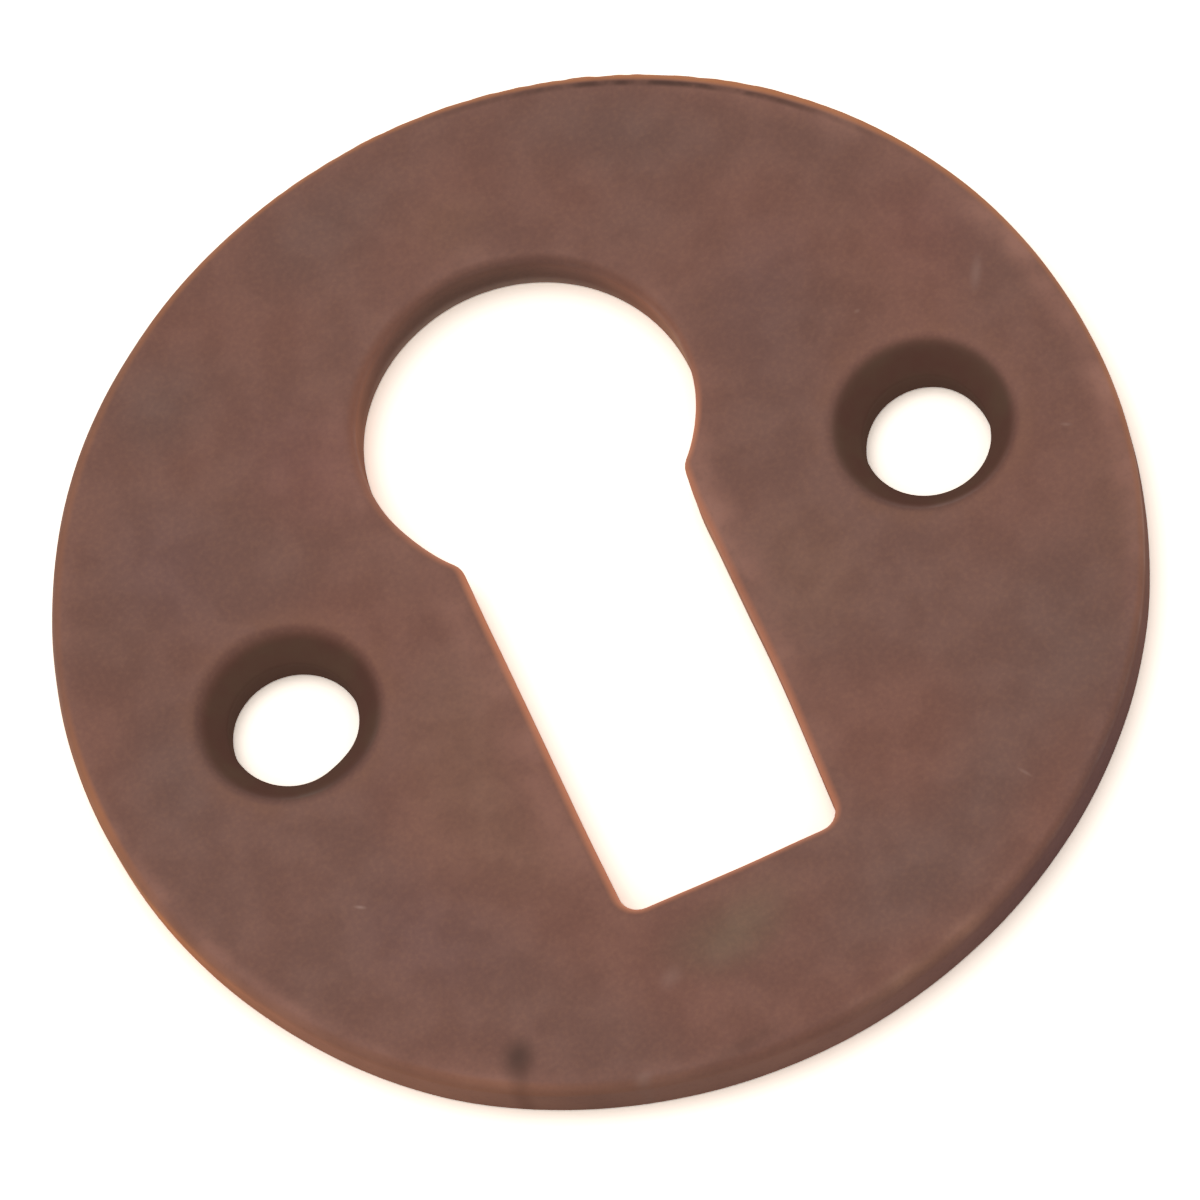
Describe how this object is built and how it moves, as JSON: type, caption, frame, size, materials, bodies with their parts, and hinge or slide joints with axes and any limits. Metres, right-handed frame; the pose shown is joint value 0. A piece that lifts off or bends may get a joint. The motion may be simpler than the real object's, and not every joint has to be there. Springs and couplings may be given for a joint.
{
  "type": "keyhole escutcheon",
  "caption": "Flat round escutcheon plate in brown patinated brass, with an open keyhole and countersunk screw holes beside it, to face the key opening of a door, drawer or cabinet.",
  "frame": {"origin": "middle of the flat back face, on the plate's own axis", "axes": "+Z out of the front face, +Y towards the round end of the keyhole, +X to the right seen from the front"},
  "size_m": [0.038, 0.038, 0.002],
  "materials": {
    "patinated_brass": "dark brown patina, satin, with coppery edges"
  },
  "bodies": {
    "root": {"escutcheon_plate": "patinated_brass"}
  },
  "joints": []
}
